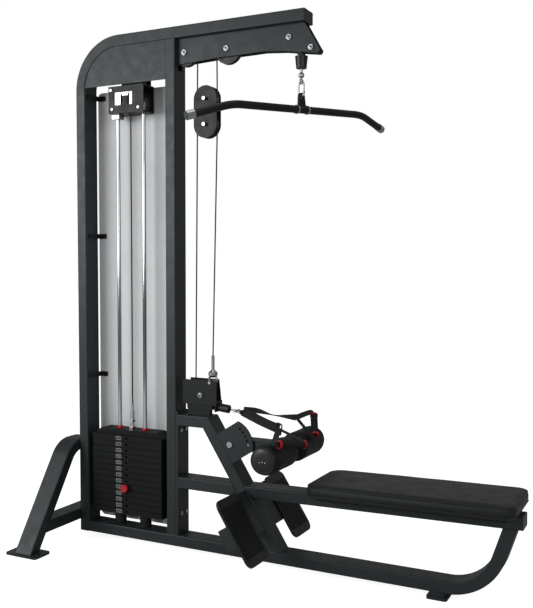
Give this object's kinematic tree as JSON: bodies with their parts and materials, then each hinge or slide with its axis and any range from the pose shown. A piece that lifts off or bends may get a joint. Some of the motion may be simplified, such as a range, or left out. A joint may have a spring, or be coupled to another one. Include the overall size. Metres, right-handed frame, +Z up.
{
  "type": "lat pulldown and low row machine",
  "caption": "Weight stack machine with an overhead boom, a bent pulldown bar, a low pulley with strap handles, a thigh roller arm and a long padded seat.",
  "frame": {"origin": "centre of the machine's footprint box, at floor level", "axes": "+X from the weight tower towards the far end of the seat, +Y across the machine, +Z up"},
  "size_m": [2.1378, 1.0899, 2.284],
  "materials": {
    "frame_paint": "satin charcoal powder coat",
    "shroud_paint": "pale grey sheet",
    "black_paint": "black satin",
    "chrome": "polished",
    "steel": "zinc plated",
    "iron": "black textured",
    "rubber": "matt",
    "plastic": "moulded",
    "red_plastic": "moulded red",
    "red_metal": "anodised red",
    "vinyl": "black upholstery vinyl",
    "webbing": "black nylon webbing",
    "foam": "closed cell foam",
    "coated_cable": "nylon coated wire rope",
    "board": "plywood"
  },
  "bodies": {
    "frame": {"main_tube": "frame_paint", "right_post": "frame_paint", "base_rail": "frame_paint", "header_panel": "frame_paint", "rear_arch": "frame_paint", "arch_brace": "frame_paint", "floor_feet": "frame_paint", "tube_caps": "plastic", "boom_plates": "frame_paint", "post_flange": "frame_paint", "slant_tube": "frame_paint", "seat_rail": "frame_paint", "low_box": "black_paint", "sector_plates": "frame_paint", "foot_beam": "frame_paint", "foot_plates": "plastic", "shroud": "shroud_paint", "shroud_clips": "black_paint", "guide_rods": "chrome", "rod_bracket": "black_paint", "rod_clamps": "steel", "bumpers": "rubber", "resting_plates": "iron", "axle_bolts": "steel", "cable_guides": "plastic", "cable_anchor": "steel", "cable_fixed": "coated_cable", "cable_stack": "coated_cable", "cable_lat": "coated_cable", "cable_block": "coated_cable", "cable_row": "coated_cable", "seat_board": "board", "seat_pad": "vinyl"},
    "stack": {"head_plate": "iron", "lifted_plates": "iron", "stack_stem": "chrome", "rod_bushings": "red_plastic"},
    "selector": {"selector_pin": "red_plastic"},
    "high_pulley": {"pulley_high": "plastic"},
    "post_pulley": {"pulley_post": "plastic"},
    "boom_pulley": {"pulley_boom": "plastic"},
    "front_pulley": {"pulley_front": "plastic"},
    "low_pulley": {"pulley_low": "plastic"},
    "block": {"block_plates": "black_paint", "block_axles": "steel"},
    "block_upper": {"pulley_upper": "plastic"},
    "block_lower": {"pulley_lower": "plastic"},
    "swivel": {"swivel_top": "steel"},
    "bar": {"lat_hook": "steel", "lat_bar": "black_paint", "bar_fittings": "chrome"},
    "gate": {"lat_gate": "steel"},
    "thigh_arm": {"roller_arm": "frame_paint", "roller_caps": "plastic"},
    "rollers": {"foam_rollers": "foam"},
    "arm_pin": {"pop_pin": "steel"},
    "row_link": {"row_hook": "steel"},
    "row_handles": {"row_straps": "webbing", "row_grips": "plastic", "grip_rings": "red_metal"}
  },
  "joints": [
    {"name": "stack_lift", "type": "slide", "parent": "frame", "child": "stack", "axis": [0, 0, 1], "range_m": [0, 1.1], "deforming": ["cable_stack"]},
    {"name": "selector_pull", "type": "slide", "parent": "stack", "child": "selector", "axis": [0, -1, 0], "range_m": [0, 0.13]},
    {"name": "bar_drop", "type": "slide", "parent": "frame", "child": "swivel", "axis": [0, 0, -1], "range_m": [0, 1.1], "deforming": ["cable_lat"]},
    {"name": "bar_swivel", "type": "hinge", "parent": "swivel", "child": "bar", "pos_m": [0.163, 0, 2.031], "axis": [0, 0, 1], "range_deg": [-45, 45]},
    {"name": "gate_open", "type": "hinge", "parent": "bar", "child": "gate", "pos_m": [0.17624, -0.00456, 1.9644], "axis": [-0.3256, -0.9455, 0], "range_deg": [0, 25], "stiffness_Nm_per_rad": 0.02, "springref_deg": -28.65},
    {"name": "high_pulley_turn", "type": "hinge", "parent": "frame", "child": "high_pulley", "pos_m": [-0.616, 0, 2.174], "axis": [0, 1, 0], "continuous": true},
    {"name": "post_pulley_turn", "type": "hinge", "parent": "frame", "child": "post_pulley", "pos_m": [-0.374, 0, 2.174], "axis": [0, 1, 0], "continuous": true},
    {"name": "boom_pulley_turn", "type": "hinge", "parent": "frame", "child": "boom_pulley", "pos_m": [-0.169, 0, 2.169], "axis": [0, 1, 0], "continuous": true},
    {"name": "front_pulley_turn", "type": "hinge", "parent": "frame", "child": "front_pulley", "pos_m": [0.118, 0, 2.182], "axis": [0, 1, 0], "continuous": true},
    {"name": "row_pull", "type": "slide", "parent": "frame", "child": "row_link", "axis": [0.989, 0, 0.1478], "range_m": [0, 0.85], "stiffness_N_per_m": 8, "springref_m": -6, "deforming": ["cable_row"]},
    {"name": "block_drop", "type": "slide", "parent": "frame", "child": "block", "axis": [0, 0, -1], "range_m": [0, 0.425], "deforming": ["cable_block"]},
    {"name": "low_pulley_turn", "type": "hinge", "parent": "frame", "child": "low_pulley", "pos_m": [-0.288, 0, 0.711], "axis": [0, 1, 0], "continuous": true},
    {"name": "block_upper_turn", "type": "hinge", "parent": "block", "child": "block_upper", "pos_m": [-0.274, 0, 1.973], "axis": [0, 1, 0], "continuous": true},
    {"name": "block_lower_turn", "type": "hinge", "parent": "block", "child": "block_lower", "pos_m": [-0.274, 0, 1.865], "axis": [0, 1, 0], "continuous": true},
    {"name": "thigh_arm_lift", "type": "hinge", "parent": "frame", "child": "thigh_arm", "pos_m": [-0.139, 0, 0.511], "axis": [0, -1, 0], "range_deg": [0, 52]},
    {"name": "roller_spin", "type": "hinge", "parent": "thigh_arm", "child": "rollers", "pos_m": [0.118, 0, 0.508], "axis": [0, 1, 0], "continuous": true},
    {"name": "arm_pin_pull", "type": "slide", "parent": "thigh_arm", "child": "arm_pin", "axis": [0, 1, 0], "range_m": [0, 0.012], "stiffness_N_per_m": 900, "springref_m": -0.01},
    {"name": "handles_lift", "type": "hinge", "parent": "row_link", "child": "row_handles", "pos_m": [-0.107, 0, 0.646], "axis": [0, -1, 0], "range_deg": [0, 80]}
  ],
  "couplings": [
    {"joint": "bar_drop", "follows": "stack_lift", "ratio": 1},
    {"joint": "high_pulley_turn", "follows": "stack_lift", "rad_per_m": 18.868},
    {"joint": "post_pulley_turn", "follows": "stack_lift", "rad_per_m": 18.868},
    {"joint": "boom_pulley_turn", "follows": "stack_lift", "rad_per_m": 17.241},
    {"joint": "front_pulley_turn", "follows": "stack_lift", "rad_per_m": 22.222},
    {"joint": "block_upper_turn", "follows": "stack_lift", "rad_per_m": -20.408},
    {"joint": "block_drop", "follows": "row_pull", "ratio": 0.5},
    {"joint": "low_pulley_turn", "follows": "row_pull", "rad_per_m": -22.222},
    {"joint": "block_lower_turn", "follows": "row_pull", "rad_per_m": 10.204},
    {"joint": "handles_lift", "follows": "thigh_arm_lift", "ratio": 1.5}
  ]
}
